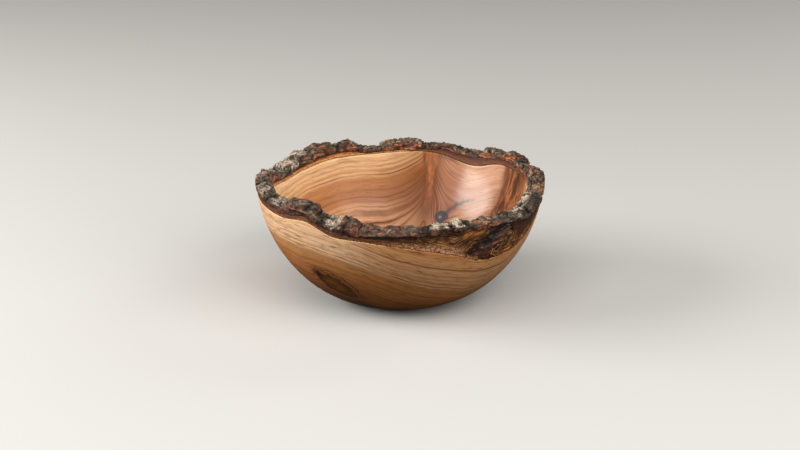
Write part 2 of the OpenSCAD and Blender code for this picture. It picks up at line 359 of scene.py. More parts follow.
def add(material, kind, inputs=None, stops=None, output=None, **settings):
    """Adds one node with its settings, ramp stops and links, and returns one of its outputs."""
    tree = material.node_tree
    made = tree.nodes.new("ShaderNode" + kind)
    for name, value in settings.items():
        setattr(made, name, value)
    if stops:
        ramp = made.color_ramp.elements
        while len(ramp) < len(stops):
            ramp.new(1)
        for element, (spot, tone) in zip(ramp, stops):
            element.position = spot
            element.color = linear(tone) if isinstance(tone, str) else (tone, tone, tone, 1)
    for name, value in (inputs or {}).items():
        socket = made.inputs[name] if isinstance(name, int) else next(
            s for s in made.inputs if s.name == name and s.enabled)
        if isinstance(value, bpy.types.NodeSocket):
            tree.links.new(value, socket)
        else:
            socket.default_value = linear(value) if isinstance(value, str) else value
    shown = [s for s in made.outputs if s.enabled]
    return made.outputs[output] if output else shown[0] if shown else None


def swing(material, place, size, detail, reach):
    """A noise that swings to both sides of 0, from its size in mm and its reach."""
    value = add(material, "TexNoise", {"Vector": place, "Scale": 1 / (size * MM), "Detail": detail})
    return add(material, "MapRange", {"Value": value, "From Min": 0.25, "From Max": 0.75,
                                      "To Min": -reach, "To Max": reach})


def layered_place(material, place, height, length, thick):
    """Stretches space for a noise of fibres: long round the bowl and thin from layer to layer."""
    x, y, _ = add(material, "SeparateXYZ", {"Vector": place}).node.outputs
    return add(material, "CombineXYZ", {
        axis: add(material, "Math", {0: value, 1: 1 / size}, operation="MULTIPLY")
        for axis, value, size in (
            ("X", x, length * MM), ("Y", y, length * MM), ("Z", height, thick))})


def fresh_material(name):
    material = bpy.data.materials.new(name)
    material.use_nodes = True
    material.node_tree.nodes.clear()
    return material


def dress(piece, material):
    """Gives a piece its material and its place on the one body."""
    piece.data.materials.clear()
    piece.data.materials.append(material)
    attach(piece, "root")


# Oiled hardwood, sanded fine: cream sapwood under the bark, pinkish brown heart below, thin dark
# lines at each ring, short dark pores along the grain and a satin sheen.
RING = 4.2                          # mm from one ring to the next
WAVE, SHORT_WAVE = 55.0, 13.0       # mm, the long and the short waves in which rings wander
SPREAD = 10.0                       # mm over which rings crowd and open out
PALE_RUN = 35.0                     # mm along which a ring's line fades and comes back
BAND, LATE_BAND = 7.0, 0.8          # mm, bands of years and the fine bands of late wood
SAPWOOD = (59.0, 66.0)              # levels between which the heart turns into sapwood
LATE_RING = 73.0                    # level of the one ring that stands out under the bark scar
TOP_LEVEL = 90.0
wood = fresh_material("oiled_hardwood")
place = add(wood, "TexCoord", output="Object")
grain = {name: add(wood, "Attribute", attribute_name=name, output="Fac") for name in bowl_notes}
slow = swing(wood, place, WAVE, 2.0, 1.6)
quick = swing(wood, place, SHORT_WAVE, 3.0, 0.8)
waved = add(wood, "Math", {0: quick, 1: 0.4, 2: slow}, operation="MULTIPLY_ADD")
waved = add(wood, "Math", {0: grain["level"], 1: waved}, operation="ADD")
spread = add(wood, "TexNoise", {"W": waved, "Scale": 1 / SPREAD, "Detail": 1.0},
             noise_dimensions="1D")
spread = add(wood, "MapRange", {"Value": spread, "From Min": 0.2, "From Max": 0.8,
                                "To Min": -4.0, "To Max": 4.0})
ring = add(wood, "Math", {0: waved, 1: spread}, operation="ADD")
ring = add(wood, "Math", {0: ring, 1: RING}, operation="DIVIDE")
ring_number = add(wood, "Math", {0: ring}, operation="FLOOR")
ring_share = add(wood, "Math", {0: ring}, operation="FRACT")
ring_luck = add(wood, "TexWhiteNoise", {"W": ring_number}, noise_dimensions="1D", output="Value")
line = add(wood, "ValToRGB", {"Fac": ring_share}, stops=[
    (0.0, 0.0), (0.25, 0.14), (0.44, 0.75), (0.5, 0.9), (0.58, 0.6), (0.75, 0.2), (1.0, 0.0)])
fading = add(wood, "TexNoise", {"Vector": place, "Scale": 1 / (PALE_RUN * MM), "Detail": 2.0})
fading = add(wood, "MapRange", {"Value": fading, "From Min": 0.3, "From Max": 0.62,
                                "To Min": 0.15, "To Max": 1.0})
sapwood = add(wood, "MapRange", {"Value": waved, "From Min": SAPWOOD[0], "From Max": SAPWOOD[1],
                                 "To Min": 1.0, "To Max": 0.15})
for share in (ring_luck, fading, sapwood, grain["clear"]):
    line = add(wood, "Math", {0: line, 1: share}, operation="MULTIPLY")
line = add(wood, "Math", {0: line, 1: 1.25}, operation="MULTIPLY", use_clamp=True)
years = add(wood, "TexNoise", {"W": waved, "Scale": 1 / BAND, "Detail": 3.0},
            noise_dimensions="1D")
years = add(wood, "ValToRGB", {"Fac": years}, stops=[(0.40, 0.0), (0.66, 0.48)])
late = add(wood, "TexNoise", {"W": waved, "Scale": 1 / LATE_BAND, "Detail": 2.0},
           noise_dimensions="1D")
late = add(wood, "ValToRGB", {"Fac": late}, stops=[(0.5, 0.0), (0.75, 0.24)])
late = add(wood, "Math", {0: late, 1: fading}, operation="MULTIPLY")
late_ring = add(wood, "Math", {0: quick, 1: 0.5, 2: grain["level"]}, operation="MULTIPLY_ADD")
late_ring = add(wood, "Math", {0: late_ring, 1: LATE_RING}, operation="SUBTRACT")
late_ring = add(wood, "Math", {0: late_ring}, operation="ABSOLUTE")
late_ring = add(wood, "MapRange", {"Value": late_ring, "From Min": 0.3, "From Max": 0.9,
                                   "To Min": 0.7, "To Max": 0.0})
late_ring = add(wood, "Math", {0: late_ring, 1: grain["under_scar"]}, operation="MULTIPLY")

# Fibres and pores run along the rings.
FIBRE, FIBRE_T = 11.0, 0.6     # mm long and thick
PORE, PORE_T = 9.0, 0.55       # drawn thicker than real pores, so that they show
fibre, pore = (
    add(wood, "TexNoise", {"Vector": layered_place(wood, place, waved, length, thick),
                           "Scale": 1.0, "Detail": 2.0})
    for length, thick in ((FIBRE, FIBRE_T), (PORE, PORE_T)))
fibre = add(wood, "ValToRGB", {"Fac": fibre}, stops=[(0.38, 0.0), (0.75, 0.36)])
pore = add(wood, "ValToRGB", {"Fac": pore}, stops=[(0.56, 0.0), (0.67, 1.0)])
pore_share = add(wood, "MapRange", {"Value": grain["inside"], "To Min": 0.75, "To Max": 0.4})
pore = add(wood, "Math", {0: pore, 1: pore_share}, operation="MULTIPLY")

# The colours change from level to level. Tints are laid over them, each by its own share.
tone = add(wood, "MapRange", {"Value": waved, "From Max": TOP_LEVEL})
# Inside, the floor and low wall are painted lighter and paler than the heart just above them: in
# part the wood's own tone, in part painted light and sheen from above.
inner_tone = add(wood, "ValToRGB", {"Fac": tone}, stops=[
    (0.10, "#c08c67"), (0.32, "#e6b289"), (0.40, "#d49e72"), (0.47, "#ae7248"), (0.58, "#bd8352"),
    (0.69, "#ecbd88"), (0.85, "#f9d3a2")])
# Outside, the lowest levels round the foot are painted darker: in part the darker heart, in part
# painted shade on the underside.
outer_tone = add(wood, "ValToRGB", {"Fac": tone}, stops=[
    (0.0, "#241004"), (0.13, "#381a08"), (0.30, "#97592b"), (0.44, "#b87640"),
    (0.57, "#c68b54"), (0.65, "#efc193"), (0.72, "#f6cda2"), (0.84, "#e9be90"), (0.95, "#d29a66")])
colour = add(wood, "Mix", {"Factor": grain["inside"], "A": outer_tone, "B": inner_tone},
             data_type="RGBA")
tints = [
    (add(wood, "Math", {0: grain[factor], 1: weight}, operation="MULTIPLY"), tint)
    for factor, weight, tint in (
        ("blush", 0.85, "#9d7263"), ("pale_wood_and_highlight", 0.9, "#bd9479"), ("round_branch", 0.92, "#5c3018"),
        ("under_scar", 0.55, "#c47c3a"))]
tints += [(years, "#9c6238"), (line, "#6e3c20"), (late, "#70421f"), (late_ring, "#5c3116"),
          (fibre, "#96633d"), (pore, "#6b4227")]

# The branch's wood: upright streaks, red-brown at the back and orange-brown at the right.
STREAK_W, STREAK_L = 25 / 6, 125 / 3    # mm wide and long
upright = add(wood, "Mapping", {"Vector": place, "Scale": (
    1 / (STREAK_W * MM), 1 / (STREAK_W * MM), 1 / (STREAK_L * MM))})
upright = add(wood, "TexNoise", {"Vector": upright, "Scale": 1.0, "Detail": 3.0, "Distortion": 0.6})
red = add(wood, "ValToRGB", {"Fac": upright}, stops=[
    (0.30, "#6f4228"), (0.46, "#8f5738"), (0.58, "#a86a43"), (0.72, "#c0834f")])
orange = add(wood, "ValToRGB", {"Fac": upright}, stops=[
    (0.30, "#341a0f"), (0.45, "#572e1b"), (0.53, "#6e402a"), (0.60, "#965e38"),
    (0.68, "#5c3320")])

# The pith and the eye have colours of their own out from the middle, and dark lines ring the eye.
FRAY, BREAK = 5.0, 4.0      # mm from one fray of their edges, or break in the lines, to the next
frayed = swing(wood, place, FRAY, 3.0, 0.28)
for heart, tones, shares in (
        ("pith",
         [(0.0, "#dcb898"), (0.10, "#c09878"), (0.16, "#55504f"), (0.28, "#454b53"),
          (0.42, "#4a494d"), (0.50, "#6f6062"), (0.6, "#9a7364")],
         [(0.46, 0.95), (0.58, 0.0)]),
        ("eye",
         [(0.0, "#6f451d"), (0.2, "#6b401a"), (0.40, "#4f2a10"), (0.52, "#5c3415")],
         [(0.40, 0.9), (0.62, 0.0)])):
    out = add(wood, "Math", {0: frayed, 1: 0.7, 2: grain[heart]}, operation="MULTIPLY_ADD")
    out = add(wood, "MapRange", {"Value": out, "From Max": 2.0})
    tints.append((add(wood, "ValToRGB", {"Fac": out}, stops=shares),
                  add(wood, "ValToRGB", {"Fac": out}, stops=tones)))
worn = add(wood, "TexNoise", {"Vector": place, "Scale": 1 / (BREAK * MM), "Detail": 2.0})
worn = add(wood, "MapRange", {"Value": worn, "From Min": 0.38, "From Max": 0.56,
                              "To Min": 0.1, "To Max": 1.0})
above = add(wood, "MapRange", {"Value": grain["above_eye"], "To Min": 0.15, "To Max": 1.0})
for lines, shown in (
        ([(0.16, 0.0), (0.2, 0.5), (0.23, 0.5), (0.27, 0.0), (0.41, 0.0), (0.46, 1.0), (0.51, 1.0),
          (0.56, 0.0)], worn),
        ([(0.60, 0.0), (0.635, 0.5), (0.67, 0.0), (0.72, 0.0), (0.75, 0.85), (0.78, 0.85),
          (0.82, 0.0), (0.88, 0.0), (0.91, 0.5), (0.95, 0.0)], above)):
    drawn = add(wood, "ValToRGB", {"Fac": out}, stops=lines)
    tints.append((add(wood, "Math", {0: drawn, 1: shown}, operation="MULTIPLY"), "#230e06"))

# Streaks, stains and spots, broken up along the rings' short waves
for factor, least, most, tint in (
        ("branch", 0.3, 0.9, red), ("streaks", 0.85, 0.97, orange),
        ("dark_side", 0.25, 0.75, "#5a3320"), ("sliver", 0.3, 0.65, "#ecc68e"),
        ("stain", 0.7, 1.0, "#4d4147"), ("eye_spot", 0.9, 1.0, "#1f0d0c")):
    broken = add(wood, "MapRange", {"Value": quick, "From Min": -0.5, "From Max": 0.3,
                                    "To Min": least, "To Max": most})
    tints.append((add(wood, "Math", {0: grain[factor], 1: broken}, operation="MULTIPLY"), tint))
for share, tint in tints:
    colour = add(wood, "Mix", {"Factor": share, "A": colour, "B": tint}, data_type="RGBA")

rough = add(wood, "MapRange", {"Value": pore, "To Min": 0.4, "To Max": 0.55})
relief = add(wood, "Bump", {"Height": pore, "Strength": 0.2, "Distance": 0.0002}, invert=True)
surface = add(wood, "BsdfPrincipled", {
    "Base Color": colour, "Roughness": rough, "Normal": relief, "IOR": 1.5,
    "Specular IOR Level": 0.06, "Coat Weight": grain["polish"], "Coat Roughness": 0.2})
add(wood, "OutputMaterial", {"Surface": surface})

bowl = object_of("bowl_wood", bowl_mesh)
dress(bowl, wood)
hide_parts("turned_bowl")


# Inner bark
# The smooth layer between wood and rough bark, cut through by the turning tool, so its two faces
# lie in the wall's own faces. It is thin all round and thick beside the branch scar in front.
POCKET_ENDS = ((306, 95.5, 57.0), (318, 97.3, 63.0))   # azimuth, radius and height
POCKET_R = 8.0
SCAR_ENDS = ((301.5, 96.0, 56.5), (318, 97.3, 63.5))   # what the strands bend round
CREVICE_ENDS = ((306.6, 94.4, 63.5), (316.0, 97.2, 72.5))   # the rough gap that is left in it
CREVICE_HALF = 3.0
SEAT_GAP = 0.12             # mm that it lies back from the wall's faces where it meets the wood
SEAT_DROP = 0.5             # mm that its underside sinks into the wood
BARK_INSET = 0.05           # mm that all bark stays behind the wall's faces in the CAD
BAST_GRID = 0.65            # mm, its mesh
BLEND = 2.5                 # mm over which layers on the wood turn into layers round the scar
RIPPLE_RUN, RIPPLE_T = 9.0, 0.9     # mm along and through one ripple of its strands
RIPPLE = 0.25               # mm that it stands out
GOLDEN_RIPPLE, CREVICE_RIPPLE = 0.25, 0.5   # mm more where it is golden, and in the crevice
LIP, LIP_FROM = 4.0, 1.6    # mm that it laps over the pocket, and from how many radii
LIP_RUN = 5.0               # mm from one rag of that lip to the next
BAST_ZONES = {              # azimuths where a zone starts, is full, falls off and has ended
    "golden": (258, 280, 334, 352), "bright": (293, 297, 303, 308),
    "past_pocket": (312, 328, 344, 358), "back_right": (2, 12, 76, 90)}


def even_copy(node, grid, softened=0):
    """A closed copy of a CAD node with an even mesh, fine enough to be shaped like bark."""
    bm = welded(node)
    plain = bpy.data.meshes.new("plain")
    bm.to_mesh(plain)
    bm.free()
    holder = object_of("holder", plain)
    remesh = holder.modifiers.new("even", "REMESH")
    remesh.mode = "VOXEL"
    remesh.voxel_size = grid * MM
    if softened:
        soft = holder.modifiers.new("soft", "SMOOTH")
        soft.factor = 0.5
        soft.iterations = softened
    graph = bpy.context.evaluated_depsgraph_get()
    even = bpy.data.meshes.new_from_object(holder.evaluated_get(graph))
    bpy.data.objects.remove(holder)
    bpy.data.meshes.remove(plain)
    even.name = node + "_mesh"
    even.shade_smooth()
    return even


def nearest_on(line, points):
    """The nearest points on a straight line between two ends."""
    ends = [np.array((r * math.cos(math.radians(a)), r * math.sin(math.radians(a)), z))
            for a, r, z in line]
    run = ends[1] - ends[0]
    share = np.clip((points - ends[0]) @ run / (run @ run), 0, 1)
    return ends[0] + share[:, None] * run


def distance_from(line, points):
    """How far points are from a line, in radii of the pocket."""
    return np.linalg.norm(points - nearest_on(line, points), axis=1) / POCKET_R


def in_crevice(points):
    """1 along the rough crevice and 0 beside it, where the tool cut the bark smooth."""
    return 1 - fade(CREVICE_HALF, 2 * CREVICE_HALF, POCKET_R * distance_from(CREVICE_ENDS, points))


def along_wall(points):
    """Unit vectors out of the wall, and along its face away from the pocket's core."""
    out = points - ball_middle
    out /= np.linalg.norm(out, axis=1)[:, None]
    away = points - nearest_on(POCKET_ENDS, points)
    away -= (away * out).sum(1)[:, None] * out
    return out, away / np.maximum(np.linalg.norm(away, axis=1), 0.1)[:, None]


bast_mesh = even_copy("inner_bark", BAST_GRID)
points = points_of(bast_mesh)
azimuth, to_middle, share_in, edge_here = place_in_wall(points)
outside_face = share_in < 0.4
over_wood = points[:, 2] - edge_here
pocket = distance_from(POCKET_ENDS, points)
scar = distance_from(SCAR_ENDS, points)
round_scar = np.clip((scar - 0.8) * POCKET_R, 0, 40)
layer = -BLEND * np.log(np.exp(-np.clip(over_wood, -1, 40) / BLEND) + np.exp(-round_scar / BLEND))
bast_outer = edge_of("inner_bark", WALL_BALL_R - BARK_INSET, outer_edge)
bast_inner = edge_of("inner_bark", HOLLOW_BALL_R + BARK_INSET, inner_edge)
top_here = across_wall(bast_outer(azimuth), bast_inner(azimuth), share_in)
depth = over_wood / np.maximum(top_here - edge_here, 1.0)
zone = {name: within(*ends, azimuth) for name, ends in BAST_ZONES.items()}
golden = zone["golden"] * outside_face
crevice = in_crevice(points) * outside_face

# Its turned faces ripple along the strands, most in the crevice, and sink a little to the seat.
turned = np.minimum(np.abs(to_middle - WALL_BALL_R), np.abs(to_middle - HOLLOW_BALL_R)) < 0.5
ripple = np.array([
    noise.fractal(Vector((p[0] / RIPPLE_RUN, p[1] / RIPPLE_RUN, lay / RIPPLE_T)), 1.0, 2.0, 3)
    for p, lay in zip(points, layer)])
ripple = np.clip(ripple, -1, 1) * (RIPPLE + GOLDEN_RIPPLE * golden + CREVICE_RIPPLE * crevice)
ripple -= RIPPLE + 0.2 * golden
ripple *= fade(0.3, 1.6, over_wood)
ripple -= 0.15 * (1 - fade(0.4, 1.2, over_wood))
bent = normals_of(bast_mesh) * np.where(turned, ripple, -0.1 * (over_wood > 0.5))[:, None]
bent[:, 2] -= SEAT_DROP * (over_wood < 0.45)

# A ragged lip of it laps over the pocket, and its seat stays inside the wall's two faces.
near = pocket < LIP_FROM
lip = (1 - fade(1.0, LIP_FROM, pocket[near])) * fade(2.5, 0.4, WALL_BALL_R - to_middle[near])
rags = np.array([noise.fractal(Vector(p) / LIP_RUN, 1.0, 2.0, 3) for p in points[near]])
lip *= np.clip(0.55 + rags, 0, 1.3)
lip *= 1 - 0.7 * crevice[near]
bent[near] -= along_wall(points[near])[1] * (LIP * lip)[:, None]
points += bent
seat = over_wood < 0.8
from_middle = points[seat] - ball_middle
distance = np.linalg.norm(from_middle, axis=1)
kept = np.clip(distance, HOLLOW_BALL_R + SEAT_GAP, WALL_BALL_R - SEAT_GAP)
points[seat] = ball_middle + from_middle * (kept / distance)[:, None]
put_points(bast_mesh, points)

bast_notes = {
    "layer": layer, "over_wood": over_wood, "depth": depth, "inside": ~outside_face,
    "golden": golden, "crumbly": golden * (1 - fade(292, 299, azimuth)), "crevice": crevice,
    "bright": zone["bright"] * fade(0.5, 0.75, depth) * fade(1.1, 1.8, scar) * outside_face,
    "by_scar": (1 - fade(0.75, 1.05, scar)) * outside_face,
    "past_pocket": zone["past_pocket"] * fade(3, 8, over_wood) * outside_face,
    "back_right": zone["back_right"] * ~outside_face}
note_on(bast_mesh, bast_notes)

# Inner bark, cut and oiled with the wood: fibrous layers, tan beside the wood and dark under the
# rough bark, with thin golden and black lines that bend round the scar, and a dark line on the wood.
BAST_FIBRE, BAST_FIBRE_T = 12.0, 0.8    # mm long and thick
SWAY, JAG, BAST_CRUMB = 6.0, 4.5, 1.2   # mm across a bend of the strands, a jag on top and a crumb
bast = fresh_material("cut_inner_bark")
place = add(bast, "TexCoord", output="Object")
grown = {name: add(bast, "Attribute", attribute_name=name, output="Fac") for name in bast_notes}
sway = swing(bast, place, SWAY, 2.0, 1.1)
swayed = add(bast, "Math", {0: grown["layer"], 1: sway}, operation="ADD")
lie = layered_place(bast, place, swayed, BAST_FIBRE, BAST_FIBRE_T)
strand = add(bast, "TexNoise", {"Vector": lie, "Scale": 1.0, "Detail": 4.0, "Roughness": 0.6})
shift = add(bast, "MapRange", {"Value": strand, "From Min": 0.25, "From Max": 0.75,
                               "To Min": -0.3, "To Max": 0.3})
through = add(bast, "Math", {0: grown["depth"], 1: shift}, operation="ADD")
outer_bast = add(bast, "ValToRGB", {"Fac": through}, stops=[
    (0.0, "#82552f"), (0.10, "#a06b3f"), (0.25, "#6d4229"), (0.38, "#3d2418"),
    (0.50, "#86553a"), (0.66, "#5d3827"), (0.8, "#38221a"), (1.0, "#201510")])
inner_bast = add(bast, "ValToRGB", {"Fac": through}, stops=[
    (0.0, "#b3763f"), (0.18, "#d99b5e"), (0.42, "#c68246"), (0.6, "#92572f"),
    (0.78, "#553321"), (1.0, "#261812")])
golden_bast = add(bast, "ValToRGB", {"Fac": strand}, stops=[
    (0.34, "#1d100a"), (0.45, "#462815"), (0.52, "#744828"), (0.58, "#a87243"),
    (0.67, "#d09a64")])
crumb = add(bast, "TexNoise", {"Vector": place, "Scale": 1 / (BAST_CRUMB * MM), "Detail": 3.0})
speckle = add(bast, "ValToRGB", {"Fac": crumb}, stops=[(0.36, 0.6), (0.54, 0.0)])
crumb = add(bast, "ValToRGB", {"Fac": crumb}, stops=[
    (0.35, "#6d4630"), (0.5, "#ab7857"), (0.65, "#cd9f7a")])
low = add(bast, "MapRange", {"Value": through, "From Min": 0.34, "From Max": 0.18})
low = add(bast, "Math", {0: low, 1: grown["crumbly"]}, operation="MULTIPLY")
jag = add(bast, "TexNoise", {"Vector": place, "Scale": 1 / (JAG * MM), "Detail": 3.0})
jag = add(bast, "Math", {0: jag, 1: 1.1, 2: through}, operation="MULTIPLY_ADD")
top = add(bast, "MapRange", {"Value": jag, "From Min": 1.15, "From Max": 1.4, "To Max": 0.85})
open_top = add(bast, "MapRange", {"Value": grown["bright"], "To Min": 1.0, "To Max": 0.15})
top = add(bast, "Math", {0: top, 1: open_top}, operation="MULTIPLY")
bright = add(bast, "MapRange", {"Value": strand, "From Min": 0.42, "From Max": 0.58,
                                "To Min": 0.1, "To Max": 0.8})
bright = add(bast, "Math", {0: bright, 1: grown["bright"]}, operation="MULTIPLY")
colour = add(bast, "Mix", {"Factor": grown["inside"], "A": outer_bast, "B": inner_bast},
             data_type="RGBA")
tints = [(grown["golden"], golden_bast), (speckle, "#3a2114"), (low, crumb), (top, "#2b1a12"),
         (bright, "#aa6c36")]
# The crevice's near-black is painted shade in the rough gap; the other tints are the bark's own
# colours.
for factor, thin, tint in (("past_pocket", 0.45, "#3f2619"), ("by_scar", 0.6, "#2b1613"),
                           ("back_right", 0.75, "#4e2d24"), ("crevice", 0.8, "#1d1713")):
    streaky = add(bast, "MapRange", {"Value": strand, "From Min": 0.5, "From Max": 0.62,
                                     "To Min": 0.9, "To Max": thin})
    tints.append((add(bast, "Math", {0: grown[factor], 1: streaky}, operation="MULTIPLY"), tint))
seam = add(bast, "MapRange", {"Value": grown["over_wood"], "From Min": 0.9, "From Max": 0.3,
                              "To Max": 0.8})
for share, tint in tints + [(seam, "#2e1b11")]:
    colour = add(bast, "Mix", {"Factor": share, "A": colour, "B": tint}, data_type="RGBA")
relief = add(bast, "Bump", {"Height": strand, "Strength": 0.5, "Distance": 0.0006})
surface = add(bast, "BsdfPrincipled", {
    "Base Color": colour, "Roughness": 0.55, "Normal": relief, "Specular IOR Level": 0.15})
add(bast, "OutputMaterial", {"Surface": surface})

bast_ring = object_of("bast_ring", bast_mesh)
dress(bast_ring, bast)
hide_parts("inner_bark")


# Rough bark
# The outer bark, cracked by the tree's growth into separate scales along the rim. Brittle
# grey-brown cork, with lichen on its grown face and its layers open where the tool cut it.
SCALES = {   # share of red-brown inner cork, and how much painted shade lies over a scale
    "bark_right_ridge": (1.0, 0.0), "bark_right_back_lump": (1.0, 0.0),
    "bark_right_orange_lump": (1.3, 0.0), "bark_back_right_ridge": (0.8, 0.0),
    "bark_back_right_saddle": (0.7, 0.0), "bark_back_right_strip": (0.8, 0.0),
    "bark_back_overhang": (1.0, 0.0), "bark_back_thin_strip": (0.4, 0.0),
    "bark_back_left_ridge": (0.8, 0.0), "bark_back_left_crest": (0.9, 0.0),
    "bark_left_lichen_crest": (0.4, 0.0), "bark_left_lichen_lump": (0.2, 0.0),
    "bark_left_saddle": (0.5, 0.0), "bark_left_knob": (0.8, 0.0),
    "bark_front_left_knob": (0.5, 0.0), "bark_front_left_lichen": (0.6, 0.2),
    "bark_front_left_tower": (0.8, 0.4), "bark_front_left_flake": (0.3, 0.0),
    "bark_front_left_lump": (0.8, 0.1), "bark_front_dip": (0.5, 0.3),
    "bark_front_lichen": (0.5, 0.15), "bark_front_lump": (0.5, 0.0),
    "bark_front_right_flake": (0.2, 0.0), "bark_pocket_lid": (1.2, 0.0),
    "bark_pocket_shoulder": (0.3, 0.3), "bark_right_hollow": (0.6, 0.0),
    "bark_right_lichen_band": (0.8, 0.0), "bark_right_front_lump": (1.1, 0.0)}
LICHEN = (   # azimuth, and share of the bark that lichen covers there; far below 0 is a hollow, painted black as shade
    (0, 0.0), (20, 0.0), (23, -0.2), (33, -0.2), (40, 0.0), (80, -0.1), (97, -0.15), (104, 0.0),
    (134, -0.1), (138, 0.6), (148, 0.9), (155, 0.8), (159, 0.15), (185, 0.1), (190, 0.4),
    (196, 0.6), (203, 0.7), (205, -0.7), (206.5, -0.7), (208.5, 0.7), (219, 0.7), (222, 0.0),
    (236.5, 0.0), (238, -0.7), (239.5, -0.7), (241, 0.95), (246.5, 0.95), (248, -0.5), (249, -0.5),
    (251, 0.05), (262, 0.15), (270, 0.3), (277, 0.2), (279, -0.5), (281.5, -0.5), (283, 0.95),
    (288.5, 0.95), (289.3, -0.6), (290.3, -0.6), (291.2, 0.95), (295, 0.95), (296.5, -0.5),
    (298, -0.5), (301, -0.05), (313, -0.05), (319, 0.1), (323, 0.8), (343, 0.85), (348, 0.1))
LAYERED = {  # scales whose grown face is worn down to the layers, and how far
    "bark_front_left_lump": 0.35, "bark_front_dip": 0.55, "bark_front_lichen": 0.4}
HOLLOW = 1.1                           # mm that a hollow lies back; its black is painted shade
HOLLOW_SCALES = ("bark_right_hollow", "bark_right_lichen_band")     # painted shade on their outer side
BARK_GRID, SOFTENED = 0.36, 9          # mm, its mesh, and how often that is smoothed
LAYER, LAYER_RUN, LAYER_DEEP = 1.4, 16.0, 7.0   # mm through a layer, along the rim and inwards
LAYER_WAVE, WAVE_RUN, WAVE_DEEP = 1.5, 11.0, 9.0    # mm that layers rise and fall, and how often
FLAKE, FLAKE_RUN, FLAKE_DEEP = 2.4, 9.0, 2.8    # mm, the same for a flake
LUMP, PLATE, CRUST = 11.0, 9.0, 1.5    # mm across a lump, a plate on it and a crumb of its crust
PLATE_LONG = 1.2                       # plates are longer along the rim than high
PLATE_BEND, PLATE_BEND_RUN = 0.3, 4.0  # of a plate's size that its edges bend, and mm between bends
CRUMB_BEND, CRUMB_EDGE = 0.4, 0.45     # of a crumb's size, the bends and width of its edge
GRIT = 2.4                             # mm across the coarse grit
CRACK, CREVICE = 0.14, 0.14            # how far a crack, and a crevice along the rim, open up
CRACK_RUN = 8.0                        # mm from open cracks to closed ones
LUMP_H, PLATE_H, FLAKE_H, GRIT_H, CRUMB_H, CRACK_H = 1.5, 0.7, 0.9, 0.7, 0.3, 1.0   # mm of relief
CUT_LAYER_H, CUT_LUMP_H, CUT_GRIT_H = 0.45, 0.4, 0.35       # mm of relief where the tool cut
RIM_R = 93.0
BARK_SEED = 3          # the noise vectors that bend the bark come out the same each run


def bark_at(point, cut):
    """The bark's relief at one point in mm, its tone, how deep it lies in a crack, which its colour
    shows as painted shade, and its crumb. On the faces that the tool cut, the layers show; on the
    grown face, cracked plates."""
    along = math.atan2(point[1], point[0]) * RIM_R
    across = math.hypot(point[0], point[1])
    lie = Vector((along, across, point[2]))
    lump = noise.noise(lie / LUMP)
    lift = lie.z + LAYER_WAVE * noise.noise(Vector((along / WAVE_RUN, across / WAVE_DEEP, 3.7)))
    layer = noise.fractal(
        Vector((along / LAYER_RUN, across / LAYER_DEEP, lift / LAYER)), 0.8, 2.0, 3)
    grit = noise.fractal(lie / GRIT, 0.7, 2.1, 4)
    flake = noise.noise(Vector((along / FLAKE_RUN, across / FLAKE_DEEP, lift / FLAKE)))
    crevice = max(0.0, 1 - abs(flake) / CREVICE)
    plate_at = Vector((along / PLATE_LONG, across, lie.z)) / PLATE
    plate_at += PLATE_BEND * noise.noise_vector(lie / PLATE_BEND_RUN)
    distances, middles = noise.voronoi(plate_at)
    opened = min(1.0, max(0.0, 0.5 + 3 * noise.noise(lie / CRACK_RUN + Vector((9, 4, 2)))))
    crack = max(0.0, 1 - (distances[1] - distances[0]) / CRACK) * opened
    height = noise.noise(middles[0] * 3.7)
    crumb_at = lie / CRUST + CRUMB_BEND * noise.noise_vector(lie / CRUST)
    near, second = noise.voronoi(crumb_at)[0][:2]
    crumb = min(1.0, (second - near) / CRUMB_EDGE)
    deep = max(crack, 0.9 * crevice)
    grown_push = (LUMP_H * lump + PLATE_H * height + FLAKE_H * flake + GRIT_H * grit
                  + CRUMB_H * (crumb - 0.75) - CRACK_H * deep)
    cut_push = CUT_LAYER_H * layer + CUT_LUMP_H * lump + CUT_GRIT_H * grit
    tone = (1 - cut) * (0.5 + 0.12 * height + 0.3 * grit) + cut * (0.5 + 0.35 * layer + 0.2 * grit)
    return (1 - cut) * grown_push + cut * cut_push, tone, (1 - cut) * deep, crumb


# Cork bark: painted near black in its cracks, joints and hollows as shade, layered red-brown where
# it broke, grey-brown with a pale dry crust of lichen on its outer face, and lighter on its proudest
# bumps, in part wear and in part painted highlight. No shine at all.
PATCH, SPECK, GREEN = 4.0, 1.1, 11.0   # mm across a patch of tone, a speck and a greenish patch
bark = fresh_material("cork_bark_with_lichen")
place = add(bark, "TexCoord", output="Object")
grown = {name: add(bark, "Attribute", attribute_name=name, output="Fac")
         for name in ("tone", "deep", "crumb", "lichen", "pale", "rust", "proud", "painted_shade")}
patch = add(bark, "TexNoise", {"Vector": place, "Scale": 1 / (PATCH * MM), "Detail": 4.0})
speck = add(bark, "TexNoise", {"Vector": place, "Scale": 1 / (SPECK * MM), "Detail": 3.0})
tone = add(bark, "Mix", {"Factor": 0.4, "A": grown["tone"], "B": patch}, data_type="FLOAT")
cork = add(bark, "ValToRGB", {"Fac": tone}, stops=[
    (0.30, "#15110d"), (0.42, "#30271f"), (0.53, "#4f443a"), (0.64, "#766858"),
    (0.78, "#9c8e7d")])
red = add(bark, "ValToRGB", {"Fac": tone}, stops=[
    (0.30, "#22130d"), (0.42, "#4f2c1f"), (0.53, "#7a4830"), (0.64, "#ab7049"),
    (0.78, "#cf9b6e")])
crust = add(bark, "ValToRGB", {"Fac": speck}, stops=[
    (0.32, "#5c5145"), (0.45, "#83766a"), (0.58, "#9f9080"), (0.72, "#bfb09d")])
pale_crust = add(bark, "ValToRGB", {"Fac": speck}, stops=[
    (0.32, "#7e6e5d"), (0.45, "#b09d88"), (0.58, "#cbb8a0"), (0.72, "#e2d2bc")])
